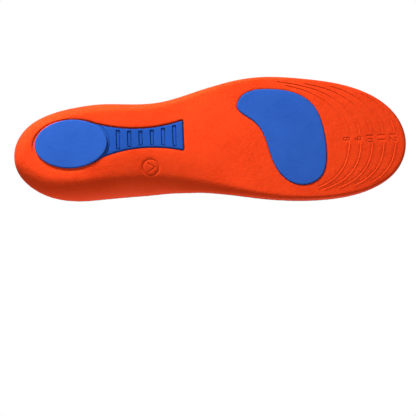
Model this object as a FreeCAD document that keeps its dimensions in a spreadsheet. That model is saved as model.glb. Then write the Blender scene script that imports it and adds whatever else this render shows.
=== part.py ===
import FreeCAD, Part
import math
import os

# Cushioned insole for a right shoe, in millimetres.
#
# X runs along the foot with the heel at +X and the toes at -X, Y runs from the
# medial (arch) side at -Y to the lateral side at +Y, and Z is up.  The two blue
# pads stand on Z = 0.  Stations along the foot are distances from the back of
# the heel, so X = overall_length / 2 - station.

DIMENSIONS = [
    ("overall_length", 290.0),
    ("lateral_shift", 0.0),
    ("pad_stand_out", 0.8),
    ("cover_thickness", 0.9),
    ("film_thickness", 0.2),
    ("bond_thickness", 0.2),
    ("shank_inset", 0.4),
    ("shank_thickness", 2.0),
    ("tray_depth", 1.0),
    ("fit_gap", 0.3),
    ("heel_pad_station", 45.0),
    ("heel_pad_offset", 2.2),
    ("heel_pad_half_length", 26.7),
    ("heel_pad_half_width", 18.1),
    ("heel_pad_thickness", 2.0),
    ("tray_station", 46.6),
    ("tray_offset", 2.6),
    ("tray_half_length", 27.1),
    ("tray_half_width", 17.6),
    ("heel_recess_station", 42.3),
    ("heel_recess_offset", 1.2),
    ("heel_recess_half_length", 26.2),
    ("heel_recess_half_width", 20.0),
    ("neck_gap", 0.8),
    ("shank_start_station", 56.0),
    ("shank_start_lateral", 19.2),
    ("shank_start_medial", -14.0),
    ("shank_waist_lateral_station", 96.0),
    ("shank_waist_lateral", 12.0),
    ("shank_waist_medial_station", 103.0),
    ("shank_waist_medial", -2.5),
    ("shank_end_station", 127.5),
    ("shank_end_lateral", 16.8),
    ("shank_end_medial", -6.1),
    ("slot_first_station", 79.5),
    ("slot_pitch", 8.3),
    ("slot_width", 3.2),
    ("slot_margin", 1.7),
    ("slot_depth", 1.0),
    ("forefoot_pad_thickness", 2.0),
    ("pad_edge_radius", 0.6),
    ("trim_line_width", 0.7),
    ("trim_line_depth", 0.4),
    ("trim_first_station", 248.0),
    ("size_step", 8.45),
    ("size_gap_half", 4.2),
    ("size_gap_centre", -4.0),
    ("digit_height", 5.2),
    ("digit_width", 2.9),
    ("digit_gap", 0.7),
    ("digit_stroke", 0.65),
    ("digit_setback", 1.2),
    ("mark_station", 102.0),
    ("mark_offset", -17.5),
    ("mark_radius", 6.2),
    ("mark_stroke", 0.6),
    ("mark_depth", 0.35),
]

SLOT_COUNT = 6
SIZES = ["8", "9", "10", "11", "12"]

# Rim of the top cover in plan: (station, Y) from the back of the heel along the
# lateral side to the toe and back along the medial side.
OUTLINE = [
    (0.0, -0.5), (9.3, 18.4), (31.0, 29.9), (66.0, 35.5), (107.0, 35.0),
    (143.0, 42.5), (180.0, 47.5), (220.0, 44.0), (256.0, 34.5), (282.0, 16.0),
    (290.0, -4.0), (284.0, -26.0), (262.0, -41.5), (229.0, -47.4), (187.0, -45.0),
    (146.0, -37.5), (105.0, -34.9), (65.0, -37.0), (28.5, -34.9), (8.0, -22.6),
]

# Half widths of the rim, heights of the rim and of the dish along the foot.
LATERAL_WIDTH = [
    (40.0, 32.5), (66.0, 35.5), (107.0, 35.0), (143.0, 42.5), (180.0, 47.5),
    (220.0, 44.0), (256.0, 40.0),
]
MEDIAL_WIDTH = [
    (40.0, 36.0), (65.0, 37.0), (105.0, 34.5), (146.0, 37.5), (187.0, 45.0),
    (229.0, 47.4), (262.0, 44.0),
]
LATERAL_RIM = [
    (0.0, 14.9), (31.0, 17.6), (66.0, 19.7), (107.0, 22.4), (143.0, 17.6),
    (180.0, 8.6), (220.0, 6.3), (256.0, 4.3), (290.0, 3.4),
]
MEDIAL_RIM = [
    (0.0, 14.9), (29.0, 18.2), (65.0, 23.4), (100.0, 26.2), (146.0, 13.4),
    (187.0, 7.2), (229.0, 6.2), (262.0, 5.0), (290.0, 3.4),
]
DISH_HEIGHT = [
    (0.0, 7.0), (45.0, 7.0), (80.0, 8.6), (112.0, 10.4), (145.0, 9.4),
    (180.0, 7.0), (220.0, 6.0), (256.0, 4.6), (290.0, 3.4),
]
DISH_POWER = [(0.0, 3.2), (60.0, 3.0), (110.0, 2.3), (180.0, 2.0), (290.0, 2.0)]

# How far the side wall comes in from the rim to the underside, and the power
# by which it does so on the way down.
LATERAL_INSET = [
    (0.0, 10.6), (31.0, 9.9), (66.0, 8.8), (107.0, 7.4), (145.0, 5.6),
    (180.0, 3.1), (225.0, 2.2), (290.0, 1.8),
]
MEDIAL_INSET = [
    (0.0, 10.6), (20.0, 12.0), (40.0, 12.8), (66.0, 12.6), (107.0, 10.8),
    (145.0, 7.2), (180.0, 3.8), (225.0, 2.4), (290.0, 1.8),
]
LATERAL_WALL_POWER = 1.7
MEDIAL_WALL_POWER = 2.1
SIDE_BLEND_HALF = 12.0
HEEL_ROUND_STATION = 40.0
FOOT_WIDTH_SHARE = 0.8

# The underside lifts off the ground in a smooth bump on each side of the arch:
# (height, station of the crest, half length of the bump).
MEDIAL_LIFT = (7.8, 106.0, 72.0)
CENTRE_LIFT = (2.3, 112.0, 50.0)
LATERAL_LIFT = (3.1, 115.0, 65.0)
LIFT_HALF_WIDTH = 30.0

# Plan of the kidney-shaped forefoot pad, (station, Y).
FOREFOOT_PAD = [
    (168.4, 26.6), (173.8, 33.4), (191.0, 36.2), (210.0, 32.6), (223.6, 23.0),
    (230.0, 6.0), (231.4, -14.0), (226.0, -31.2), (213.0, -36.2), (200.3, -30.7),
    (191.8, -16.0), (187.0, 1.5), (177.6, 14.4),
]

# One trim line, (distance behind its own tip, Y); every size repeats it.
TRIM_LINE = [
    (58.0, 41.4), (43.0, 38.0), (28.0, 32.8), (16.0, 25.3), (8.5, 17.8),
    (2.8, 9.2), (0.4, 0.6), (0.0, -7.1), (1.8, -16.6), (6.0, -25.4),
    (13.7, -33.1), (23.0, -38.0), (29.0, -40.0),
]
TRIM_LATERAL_ENDS = [38.5, 41.4, 38.7, 35.7, 29.6]
TRIM_MEDIAL_ENDS = [-38.9, -39.9, -39.1, -38.3, -36.3]

BLANK_LEVELS = [-1.0, 0.8, 2.2, 4.0, 7.0, 11.0, 16.0, 22.0, 31.0]
BLANK_SAMPLES = 48
KIDNEY_SAMPLES = 40
TRIM_CUTS = 160
TRIM_CUTS_PER_SPAN = 6
ARC_CUTS = 12
CHEVRON_NOSE = 0.5
CHEVRON_TAIL = 0.3
CHEVRON_SPREAD = 0.55
SURFACE_STEP_X = 10.0
SURFACE_STEP_Y = 7.5
SURFACE_HALF_X = 160.0
SURFACE_HALF_Y = 60.0
TOOL_HEIGHT = 60.0
TOOL_FLOOR = -5.0
LEVEL_TOLERANCE = 0.01


def make_sheet(doc):
    sheet = doc.addObject("Spreadsheet::Sheet", "dimensions")
    for row, (alias, value) in enumerate(DIMENSIONS, start=1):
        sheet.set("A%d" % row, alias)
        sheet.set("B%d" % row, str(value))
        sheet.setAlias("B%d" % row, alias)
    doc.recompute()
    return sheet


def smooth_through(stations, position):
    """Height of a smooth curve through (station, value) pairs."""
    if position <= stations[0][0]:
        return stations[0][1]
    if position >= stations[-1][0]:
        return stations[-1][1]
    last = len(stations) - 1
    low = max(i for i in range(last) if stations[i][0] <= position)
    slopes = []
    for i in (low, low + 1):
        before = stations[max(i - 1, 0)]
        after = stations[min(i + 1, last)]
        slopes.append((after[1] - before[1]) / (after[0] - before[0]))
    if low == 0:
        slopes[0] = 0.0
    if low + 1 == last:
        slopes[1] = 0.0
    span = stations[low + 1][0] - stations[low][0]
    part = (position - stations[low][0]) / span
    square = part * part
    cube = square * part
    value = (2 * cube - 3 * square + 1) * stations[low][1]
    value += (cube - 2 * square + part) * span * slopes[0]
    value += (3 * square - 2 * cube) * stations[low + 1][1]
    value += (cube - square) * span * slopes[1]
    return value


def smooth_step(value):
    value = min(max(value, 0.0), 1.0)
    return value * value * (3.0 - 2.0 * value)


def bump(lift, station):
    height, crest, half_length = lift
    reach = (station - crest) / half_length
    if abs(reach) >= 1.0:
        return 0.0
    return height * math.cos(math.pi * reach / 2.0) ** 2


def edge_ratio(station, y):
    """0 on the centre line of the dish, 1 at its rim."""
    lateral = smooth_through(LATERAL_WIDTH, max(station, HEEL_ROUND_STATION))
    medial = smooth_through(MEDIAL_WIDTH, max(station, HEEL_ROUND_STATION))
    across = y / lateral if y > 0 else -y / medial
    if station >= HEEL_ROUND_STATION:
        return across
    along = (HEEL_ROUND_STATION - station) / HEEL_ROUND_STATION
    return math.hypot(along, across)


def lateral_share(y):
    """0 on the medial side, 1 on the lateral side, smooth across the middle."""
    return smooth_step((y + SIDE_BLEND_HALF) / (2.0 * SIDE_BLEND_HALF))


def side_blend(medial, lateral, station, y):
    share = lateral_share(y)
    low = smooth_through(medial, station)
    return low + (smooth_through(lateral, station) - low) * share


def top_height(station, y):
    """Height of the upper face of the cover."""
    dish = smooth_through(DISH_HEIGHT, station)
    rim = side_blend(MEDIAL_RIM, LATERAL_RIM, station, y)
    ratio = edge_ratio(station, y)
    power = smooth_through(DISH_POWER, station)
    if ratio > 1.0:
        rise = 1.0 + power * (ratio - 1.0)
    else:
        rise = ratio ** power
    return dish + (rim - dish) * rise


def base_height(station, y, stand_out):
    """Height of the underside of the foam."""
    centre = bump(CENTRE_LIFT, station)
    edge = bump(LATERAL_LIFT if y > 0 else MEDIAL_LIFT, station)
    ratio = abs(y) / LIFT_HALF_WIDTH
    if ratio > 1.0:
        share = 2.0 * ratio - 1.0
    else:
        share = ratio * ratio
    return stand_out + centre + (edge - centre) * share


class Insole:
    """The insole's document: sheet values, tool solids and sub-parts."""

    def __init__(self):
        self.doc = FreeCAD.newDocument("cushioned_insole")
        self.sheet = make_sheet(self.doc)
        self.nodes = []

    def value(self, alias):
        return float(self.sheet.get(alias))

    def x_at(self, station):
        return self.value("overall_length") / 2.0 - station

    def point(self, station, y, z=0.0):
        return FreeCAD.Vector(self.x_at(station), y, z)

    def base_at(self, station, y):
        return base_height(station, y, self.value("pad_stand_out"))

    def feature(self, name, shape):
        made = self.doc.addObject("Part::Feature", name)
        made.Shape = shape
        return made

    def boolean(self, kind, name, base, tool):
        made = self.doc.addObject("Part::" + kind, name)
        made.Base = base
        made.Tool = tool
        made.Refine = False
        return made

    def node(self, made, label):
        made.Label = label
        made.setExpression("Placement.Base.y", "dimensions.lateral_shift")
        self.nodes.append(made)
        return made

    # ---- freeform tool solids -------------------------------------------

    def above(self, name, height):
        """Everything above the surface z = height(station, y)."""
        rows = []
        for i in range(int(round(2 * SURFACE_HALF_X / SURFACE_STEP_X)) + 1):
            x = -SURFACE_HALF_X + i * SURFACE_STEP_X
            station = self.value("overall_length") / 2.0 - x
            row = []
            for j in range(int(round(2 * SURFACE_HALF_Y / SURFACE_STEP_Y)) + 1):
                y = -SURFACE_HALF_Y + j * SURFACE_STEP_Y
                row.append(FreeCAD.Vector(x, y, height(station, y)))
            rows.append(row)
        surface = Part.BSplineSurface()
        surface.interpolate(rows)
        solid = surface.toShape().extrude(FreeCAD.Vector(0, 0, TOOL_HEIGHT))
        return self.feature(name, solid)

    def above_top(self, name, depth):
        return self.above(name, lambda s, y: top_height(s, y) - depth)

    def above_base(self, name, depth):
        return self.above(name, lambda s, y: self.base_at(s, y) + depth)

    def blank(self):
        """Solid with the flared side wall, taller and deeper than the insole."""
        rim = Part.BSplineCurve()
        rim.interpolate([self.point(s, y) for s, y in OUTLINE], PeriodicFlag=True)
        first, last = rim.FirstParameter, rim.LastParameter
        samples = []
        for k in range(BLANK_SAMPLES):
            at = first + (last - first) * k / BLANK_SAMPLES
            place = rim.value(at)
            along = rim.tangent(at)[0]
            inward = FreeCAD.Vector(0, 0, 1).cross(along)
            if inward.dot(FreeCAD.Vector(-place.x, -place.y, 0)) < 0:
                inward = inward.negative()
            samples.append((place, inward))
        wires = []
        for level in BLANK_LEVELS:
            ring = [self.wall_point(place, inward, level) for place, inward in samples]
            loop = Part.BSplineCurve()
            loop.interpolate(ring, PeriodicFlag=True)
            wires.append(Part.Wire([loop.toShape()]))
        return self.feature("blank", Part.makeLoft(wires, True, False))

    def wall_point(self, place, inward, level):
        station = self.value("overall_length") / 2.0 - place.x
        top = top_height(station, place.y)
        bottom = self.base_at(station, place.y * FOOT_WIDTH_SHARE)
        depth = (top - level) / (top - bottom)
        power = MEDIAL_WALL_POWER
        power += (LATERAL_WALL_POWER - MEDIAL_WALL_POWER) * lateral_share(place.y)
        if depth <= 0.0:
            share = 0.0
        elif depth <= 1.0:
            share = depth ** power
        else:
            share = 1.0 + power * (depth - 1.0)
        inset = side_blend(MEDIAL_INSET, LATERAL_INSET, station, place.y) * share
        spot = place + inward * inset
        spot.z = level
        return spot

    # ---- profile solids ----------------------------------------------------

    def prism(self, name, face, low, high):
        """A flat face at Z = 0 made into a solid from low to high."""
        face.translate(FreeCAD.Vector(0, 0, low))
        return self.feature(name, face.extrude(FreeCAD.Vector(0, 0, high - low)))

    def oval_face(self, part, margin=0.0):
        """The ellipse of the heel pad, its tray or its recess, grown by a margin."""
        centre = self.point(self.value(part + "_station"), self.value(part + "_offset"))
        curve = Part.Ellipse(
            centre,
            self.value(part + "_half_length") + margin,
            self.value(part + "_half_width") + margin,
        )
        return Part.Face(Part.Wire([curve.toShape()]))

    def neck_face(self, margin):
        """Waisted plate between two concave arcs, grown by the margin."""
        start = self.value("shank_start_station")
        end = self.value("shank_end_station") + margin
        lateral = Part.Arc(
            self.point(start, self.value("shank_start_lateral") + margin),
            self.point(
                self.value("shank_waist_lateral_station"),
                self.value("shank_waist_lateral") + margin,
            ),
            self.point(end, self.value("shank_end_lateral") + margin),
        ).toShape()
        medial = Part.Arc(
            self.point(end, self.value("shank_end_medial") - margin),
            self.point(
                self.value("shank_waist_medial_station"),
                self.value("shank_waist_medial") - margin,
            ),
            self.point(start, self.value("shank_start_medial") - margin),
        ).toShape()
        ends = [
            Part.makeLine(lateral.Vertexes[-1].Point, medial.Vertexes[0].Point),
            Part.makeLine(medial.Vertexes[-1].Point, lateral.Vertexes[0].Point),
        ]
        return Part.Face(Part.Wire(Part.__sortEdges__([lateral, medial] + ends)))

    def keyhole_face(self, discs, margin):
        """Round heel ends and the waisted neck in one outline."""
        joined = self.neck_face(margin).multiFuse(discs).removeSplitter()
        return joined.Faces[0]

    def kidney_curve(self, margin=0.0):
        curve = Part.BSplineCurve()
        curve.interpolate([self.point(s, y) for s, y in FOREFOOT_PAD], PeriodicFlag=True)
        if not margin:
            return curve
        first, last = curve.FirstParameter, curve.LastParameter
        grown = []
        for k in range(KIDNEY_SAMPLES):
            at = first + (last - first) * k / KIDNEY_SAMPLES
            along = curve.tangent(at)[0]
            grown.append(curve.value(at) + FreeCAD.Vector(along.y, -along.x, 0) * margin)
        wider = Part.BSplineCurve()
        wider.interpolate(grown, PeriodicFlag=True)
        return wider

    def kidney_face(self, margin):
        return Part.Face(Part.Wire([self.kidney_curve(margin).toShape()]))

    def neck_edges(self, station):
        """Medial and lateral edge of the shank's neck at a station."""
        x = self.x_at(station)
        low, high = -SURFACE_HALF_Y, SURFACE_HALF_Y
        line = Part.makeLine(FreeCAD.Vector(x, low, 0), FreeCAD.Vector(x, high, 0))
        cut = self.neck_face(0.0).common(line)
        box = cut.BoundBox
        return box.YMin, box.YMax

    def band(self, points, width):
        """Thin strip of the given width centred on a smooth line."""
        left = []
        right = []
        for k, place in enumerate(points):
            ahead = points[min(k + 1, len(points) - 1)]
            behind = points[max(k - 1, 0)]
            along = (ahead - behind).normalize()
            across = FreeCAD.Vector(-along.y, along.x, 0) * (width / 2.0)
            left.append(place + across)
            right.append(place - across)
        edges = [Part.makeLine(left[0], right[0]), Part.makeLine(left[-1], right[-1])]
        for side in (left, right):
            if len(side) > 2:
                curve = Part.BSplineCurve()
                curve.interpolate(side)
                edges.append(curve.toShape())
            else:
                edges.append(Part.makeLine(side[0], side[1]))
        return Part.Face(Part.Wire(Part.__sortEdges__(edges)))

    def ring(self, centre, radius, width):
        outer = Part.makeCircle(radius + width / 2.0, centre)
        inner = Part.makeCircle(radius - width / 2.0, centre)
        return Part.Face(Part.Wire(outer)).cut(Part.Face(Part.Wire(inner)))

    # ---- engraved lines, size numbers and mark ------------------------------

    def trim_faces(self, index):
        """One trim line, broken where its size number stands."""
        tip = self.value("trim_first_station") + index * self.value("size_step")
        curve = Part.BSplineCurve()
        curve.interpolate([self.point(tip - back, y) for back, y in TRIM_LINE])
        gap_high = self.value("size_gap_centre") + self.value("size_gap_half")
        gap_low = self.value("size_gap_centre") - self.value("size_gap_half")
        spans = [
            (gap_high, TRIM_LATERAL_ENDS[index]),
            (TRIM_MEDIAL_ENDS[index], gap_low),
        ]
        fine = curve.discretize(TRIM_CUTS + 1)
        faces = []
        for low, high in spans:
            points = [p for p in fine if low <= p.y <= high]
            points = points[::TRIM_CUTS_PER_SPAN] + [points[-1]]
            faces.append(self.band(points, self.value("trim_line_width")))
        return faces

    def digit_faces(self, digit, x, y):
        """A size number read with the toe end up; x, y is the digit's middle."""
        stroke = self.value("digit_stroke")
        tall = self.value("digit_height") - stroke
        half = (self.value("digit_width") - stroke) / 2.0

        def spot(right, up):
            return FreeCAD.Vector(x - up * tall, y - right * half, 0)

        def arc(centre_up, radius_right, radius_up, start, end):
            turns = [start + (end - start) * k / ARC_CUTS for k in range(ARC_CUTS + 1)]
            return [
                spot(
                    radius_right * math.cos(math.radians(turn)),
                    centre_up + radius_up * math.sin(math.radians(turn)),
                )
                for turn in turns
            ]

        shapes = {
            "0": [arc(0.0, 1.0, 0.5, 0, 180), arc(0.0, 1.0, 0.5, 180, 360)],
            "1": [[spot(0.0, -0.5), spot(0.0, 0.5)]],
            "2": [
                arc(0.25, 1.0, 0.25, 170, -30),
                [spot(0.85, 0.12), spot(-0.95, -0.5)],
                [spot(-1.0, -0.5), spot(1.0, -0.5)],
            ],
            "8": [
                arc(0.25, 0.85, 0.25, 0, 180), arc(0.25, 0.85, 0.25, 180, 360),
                arc(-0.25, 1.0, 0.25, 0, 180), arc(-0.25, 1.0, 0.25, 180, 360),
            ],
            "9": [
                arc(0.22, 1.0, 0.28, 0, 180), arc(0.22, 1.0, 0.28, 180, 360),
                [spot(1.0, 0.22), spot(0.85, -0.15), spot(0.2, -0.5)],
            ],
        }
        return [self.band(points, stroke) for points in shapes[digit]]

    def number_faces(self, index):
        tip = self.value("trim_first_station") + index * self.value("size_step")
        x = self.x_at(tip - self.value("digit_setback"))
        digits = SIZES[index]
        advance = self.value("digit_width") + self.value("digit_gap")
        faces = []
        for place, digit in enumerate(digits):
            shift = (place - (len(digits) - 1) / 2.0) * advance
            faces += self.digit_faces(digit, x, self.value("size_gap_centre") - shift)
        return faces

    def mark_faces(self):
        """Plain ring around a chevron that points to the toe."""
        centre = self.point(self.value("mark_station"), self.value("mark_offset"))
        radius = self.value("mark_radius")
        stroke = self.value("mark_stroke")
        nose = centre + FreeCAD.Vector(-CHEVRON_NOSE, 0, 0) * radius
        faces = [self.ring(centre, radius, stroke)]
        for spread in (-CHEVRON_SPREAD, CHEVRON_SPREAD):
            tail = centre + FreeCAD.Vector(CHEVRON_TAIL, spread, 0) * radius
            faces.append(self.band([nose, tail], stroke))
        return faces

    # ---- sub-parts ----------------------------------------------------------

    def build_layers(self):
        """Cover, adhesive film and moulded foam, stacked from the same blank."""
        cover = self.value("cover_thickness")
        film = self.value("film_thickness")
        blank = self.blank()
        top = self.above_top("above_cover", 0.0)
        under_cover = self.above_top("above_film", cover)
        under_film = self.above_top("above_foam", cover + film)
        ground = self.above_base("above_underside", 0.0)
        cover_stack = self.boolean("Common", "cover_stack", blank, under_cover)
        self.node(self.boolean("Cut", "top_cover_body", cover_stack, top), "top_cover")
        film_stack = self.boolean("Common", "film_stack", blank, under_film)
        self.node(
            self.boolean("Cut", "cover_bond_film_body", film_stack, under_cover),
            "cover_bond_film",
        )
        foam_stack = self.boolean("Common", "foam_stack", blank, ground)
        foam = self.boolean("Cut", "foam_shell", foam_stack, under_film)
        return foam

    def build_recesses(self, foam):
        gap = self.value("fit_gap")
        inset = self.value("shank_inset")
        floor = inset + self.value("shank_thickness") + self.value("bond_thickness")
        discs = [self.oval_face("heel_recess"), self.oval_face("tray", self.value("neck_gap"))]
        keyhole = self.prism(
            "keyhole_recess", self.keyhole_face(discs, self.value("neck_gap")),
            TOOL_FLOOR, TOOL_HEIGHT,
        )
        above_floor = self.above_base("above_shank_floor", floor)
        shank_recess = self.boolean("Cut", "shank_recess", keyhole, above_floor)
        pad_top = self.value("forefoot_pad_thickness") + self.value("bond_thickness")
        pad_recess = self.prism(
            "forefoot_recess", self.kidney_face(gap), TOOL_FLOOR, pad_top
        )
        lines = []
        for index in range(len(SIZES)):
            lines += self.trim_faces(index) + self.number_faces(index)
        depth = self.value("pad_stand_out") + self.value("trim_line_depth")
        grooves = []
        for face in lines:
            face.translate(FreeCAD.Vector(0, 0, TOOL_FLOOR))
            grooves.append(face.extrude(FreeCAD.Vector(0, 0, depth - TOOL_FLOOR)))
        trims = self.feature("trim_grooves", grooves[0].multiFuse(grooves[1:]))
        marks = []
        for face in self.mark_faces():
            face.translate(FreeCAD.Vector(0, 0, TOOL_FLOOR))
            marks.append(face.extrude(FreeCAD.Vector(0, 0, TOOL_HEIGHT)))
        mark_prism = self.feature("mark_prism", marks[0].multiFuse(marks[1:]))
        above_mark = self.above_base("above_mark_floor", self.value("mark_depth"))
        mark = self.boolean("Cut", "mark_groove", mark_prism, above_mark)
        for name, tool in (
            ("foam_with_shank_recess", shank_recess),
            ("foam_with_pad_recess", pad_recess),
            ("foam_with_trim_lines", trims),
            ("foam_body_body", mark),
        ):
            foam = self.boolean("Cut", name, foam, tool)
        self.node(foam, "foam_body")

    def build_shank(self):
        """Stiffening plate under the arch, with a tray for the heel pad."""
        inset = self.value("shank_inset")
        thickness = self.value("shank_thickness")
        outline = self.prism(
            "shank_outline", self.keyhole_face([self.oval_face("tray")], 0.0),
            TOOL_FLOOR, TOOL_HEIGHT,
        )
        face = self.above_base("above_shank_face", inset)
        back = self.above_base("above_shank_back", inset + thickness)
        bond_back = self.above_base(
            "above_shank_bond", inset + thickness + self.value("bond_thickness")
        )
        lower = self.boolean("Common", "shank_slab", outline, face)
        plate = self.boolean("Cut", "shank_plate", lower, back)
        tray_floor = (
            self.value("pad_stand_out") + inset + self.value("tray_depth")
        )
        tray = self.prism(
            "tray_pocket", self.oval_face("heel_pad", self.value("fit_gap") / 2.0),
            TOOL_FLOOR, tray_floor,
        )
        plate = self.boolean("Cut", "shank_with_tray", plate, tray)
        slot_floor = self.above_base("above_slot_floor", inset + self.value("slot_depth"))
        slots = self.boolean("Cut", "slots", self.slot_prisms(), slot_floor)
        plate = self.boolean("Cut", "arch_shank_body", plate, slots)
        self.node(plate, "arch_shank")
        bond = self.boolean("Common", "shank_bond_slab", outline, back)
        bond = self.boolean("Cut", "shank_bond_body", bond, bond_back)
        self.node(bond, "shank_bond")

    def slot_prisms(self):
        boxes = []
        width = self.value("slot_width")
        margin = self.value("slot_margin")
        for index in range(SLOT_COUNT):
            station = self.value("slot_first_station") + index * self.value("slot_pitch")
            medial, lateral = self.neck_edges(station)
            corner = self.point(station + width / 2.0, medial + margin, TOOL_FLOOR)
            length = lateral - medial - 2.0 * margin
            boxes.append(Part.makeBox(width, length, TOOL_HEIGHT, corner))
        return self.feature("slot_prisms", boxes[0].multiFuse(boxes[1:]))

    def padded_body(self, name, label, curve, low, thickness, round_edge):
        """A flat pad: one closed sketch, padded, with its lower edge rounded."""
        body = self.doc.addObject("PartDesign::Body", name)
        plane = [f for f in body.Origin.OriginFeatures if f.Role == "XY_Plane"][0]
        sketch = body.newObject("Sketcher::SketchObject", name + "_sketch")
        sketch.AttachmentSupport = [(plane, "")]
        sketch.MapMode = "FlatFace"
        sketch.addGeometry(curve, False)
        sketch.setExpression("AttachmentOffset.Base.z", low)
        pad = body.newObject("PartDesign::Pad", name + "_pad")
        pad.Profile = sketch
        pad.setExpression("Length", thickness)
        self.doc.recompute()
        if round_edge:
            lowest = pad.Shape.BoundBox.ZMin
            edges = [
                "Edge%d" % (k + 1) for k, edge in enumerate(pad.Shape.Edges)
                if edge.BoundBox.ZMax < lowest + LEVEL_TOLERANCE
            ]
            fillet = body.newObject("PartDesign::Fillet", name + "_edge")
            fillet.Base = (pad, edges)
            fillet.setExpression("Radius", "dimensions.pad_edge_radius")
            body.Tip = fillet
        self.node(body, label)

    def build_pads(self):
        centre = self.point(self.value("heel_pad_station"), self.value("heel_pad_offset"))
        oval = Part.Ellipse(
            centre, self.value("heel_pad_half_length"), self.value("heel_pad_half_width")
        )
        for name, curve in (("heel_pad", oval), ("forefoot_pad", self.kidney_curve())):
            thickness = "dimensions.%s_thickness" % name
            self.padded_body(name + "_solid", name, curve, "0", thickness, True)
            self.padded_body(
                name + "_bond_solid", name + "_bond", curve, thickness,
                "dimensions.bond_thickness", False,
            )


def check_and_export(insole):
    doc = insole.doc
    doc.recompute()
    for made in doc.Objects:
        if "Invalid" in made.State or "Error" in made.State:
            raise RuntimeError("%s failed: %s" % (made.Name, made.State))
    os.makedirs("parts", exist_ok=True)
    for made in insole.nodes:
        shape = made.Shape
        if shape.isNull() or not shape.isValid() or not shape.Solids:
            raise RuntimeError("%s has no valid solid" % made.Label)
        box = shape.BoundBox
        print(
            "%-18s solids %d volume %9.1f  X %.1f..%.1f  Y %.1f..%.1f  Z %.2f..%.2f"
            % (
                made.Label, len(shape.Solids), shape.Volume, box.XMin, box.XMax,
                box.YMin, box.YMax, box.ZMin, box.ZMax,
            )
        )
    for made in insole.nodes:
        made.Shape.exportStep(os.path.join("parts", made.Label + ".step"))


def main():
    insole = Insole()
    foam = insole.build_layers()
    insole.build_recesses(foam)
    insole.build_shank()
    insole.build_pads()
    check_and_export(insole)


main()
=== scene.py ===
import math

import bpy
import numpy as np
from mathutils import Matrix, Vector
from mathutils.bvhtree import BVHTree
from mathutils.geometry import delaunay_2d_cdt


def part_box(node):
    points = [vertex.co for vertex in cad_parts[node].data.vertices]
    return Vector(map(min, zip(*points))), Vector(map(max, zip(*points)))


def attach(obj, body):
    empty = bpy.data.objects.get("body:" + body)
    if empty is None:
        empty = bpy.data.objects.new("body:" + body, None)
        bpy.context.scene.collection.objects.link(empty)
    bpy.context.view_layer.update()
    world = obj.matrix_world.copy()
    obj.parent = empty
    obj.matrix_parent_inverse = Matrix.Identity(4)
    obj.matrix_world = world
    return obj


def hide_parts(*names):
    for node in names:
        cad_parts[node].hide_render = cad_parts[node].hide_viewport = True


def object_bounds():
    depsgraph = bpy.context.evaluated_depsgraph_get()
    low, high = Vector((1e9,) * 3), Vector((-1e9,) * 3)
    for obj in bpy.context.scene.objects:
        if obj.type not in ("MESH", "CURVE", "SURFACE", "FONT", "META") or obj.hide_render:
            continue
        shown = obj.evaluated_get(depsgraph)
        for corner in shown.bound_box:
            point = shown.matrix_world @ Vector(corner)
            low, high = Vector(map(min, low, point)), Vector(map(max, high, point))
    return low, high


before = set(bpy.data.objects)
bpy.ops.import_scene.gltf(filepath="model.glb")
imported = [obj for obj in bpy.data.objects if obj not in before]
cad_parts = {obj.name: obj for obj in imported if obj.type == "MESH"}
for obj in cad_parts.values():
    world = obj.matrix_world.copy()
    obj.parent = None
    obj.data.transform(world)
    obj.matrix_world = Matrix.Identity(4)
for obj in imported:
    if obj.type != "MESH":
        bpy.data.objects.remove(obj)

CAD_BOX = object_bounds()
MM = 0.001
HEEL_X = 145 * MM

# ---- sizes ----

# Lift of the underside on each side of the arch: height, station, half length.
MEDIAL_LIFT = (7.8 * MM, 106 * MM, 72 * MM)
CENTRE_LIFT = (2.3 * MM, 112 * MM, 50 * MM)
LATERAL_LIFT = (3.1 * MM, 115 * MM, 65 * MM)
LIFT_HALF_WIDTH = 30 * MM
PAD_STAND_OUT = 0.8 * MM

COVER = 0.9 * MM
FILM = 0.2 * MM
BATCH = 4000
RIM_STEPS = 640
LOOP_SMOOTHING = 2
WALL_SMOOTHING = 200
WALL_ROWS = 16
LAST_WALL_SHARE = 0.86
# Loops in the rounded foot of the wall, as shares of the way down it.
FOOT_SHARES = (0.91, 0.945, 0.97, 0.985, 0.996)

# Start height of casts onto the cover, and inward pulls for casts that miss.
CAST_FROM = 0.1
CAST_PULLS = (0.0, 0.002, 0.01)

# Inset of the side wall at the underside, (station, inset), and the roundness
# of its profile on each side; 2 is a quarter of an ellipse.
LATERAL_INSET = np.array([
    (0.0, 12.4), (31.0, 11.4), (66.0, 10.2), (107.0, 8.6), (145.0, 6.5),
    (180.0, 3.8), (225.0, 2.7), (290.0, 2.2),
]) * MM
MEDIAL_INSET = np.array([
    (0.0, 12.4), (20.0, 14.0), (40.0, 15.4), (66.0, 15.2), (107.0, 13.2),
    (145.0, 9.0), (180.0, 4.8), (225.0, 3.0), (290.0, 2.2),
]) * MM
LATERAL_ROUNDNESS = 1.6
MEDIAL_ROUNDNESS = 2.0
SIDE_BLEND_HALF = 12 * MM

SHANK_INSET = 0.65 * MM
SHANK_FLOOR = 2.6 * MM
SHANK_BACK = 2.4 * MM
NECK_GAP = 0.8 * MM
HEEL_RECESS_STATION = 42.3 * MM
HEEL_RECESS_Y = 1.2 * MM
HEEL_RECESS_HALF = (26.2 * MM, 20.0 * MM)
TRAY_DEPTH = 1.0 * MM
LIP_DEPTH = 0.25 * MM
RING_DEPTH = 0.85 * MM
RING_LIFT = 0.5 * MM
RING_LIFT_RUN = 2.6 * MM
RING_LIFT_SIDE = 6 * MM
LIP_SOFTNESS = 1.3 * MM
RECESS_WALL = 0.35 * MM
NECK_RUN = 2.0 * MM
BED_PAST_SHANK = 0.2 * MM
BED_INSIDE_PAD = 0.1 * MM
BED_WALL = 0.3 * MM
KIDNEY_LIP = 0.25 * MM
KIDNEY_WALL = 0.2 * MM
PAD_RECESS_DEPTH = 1.4 * MM
PAD_GAP = 0.3 * MM

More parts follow.
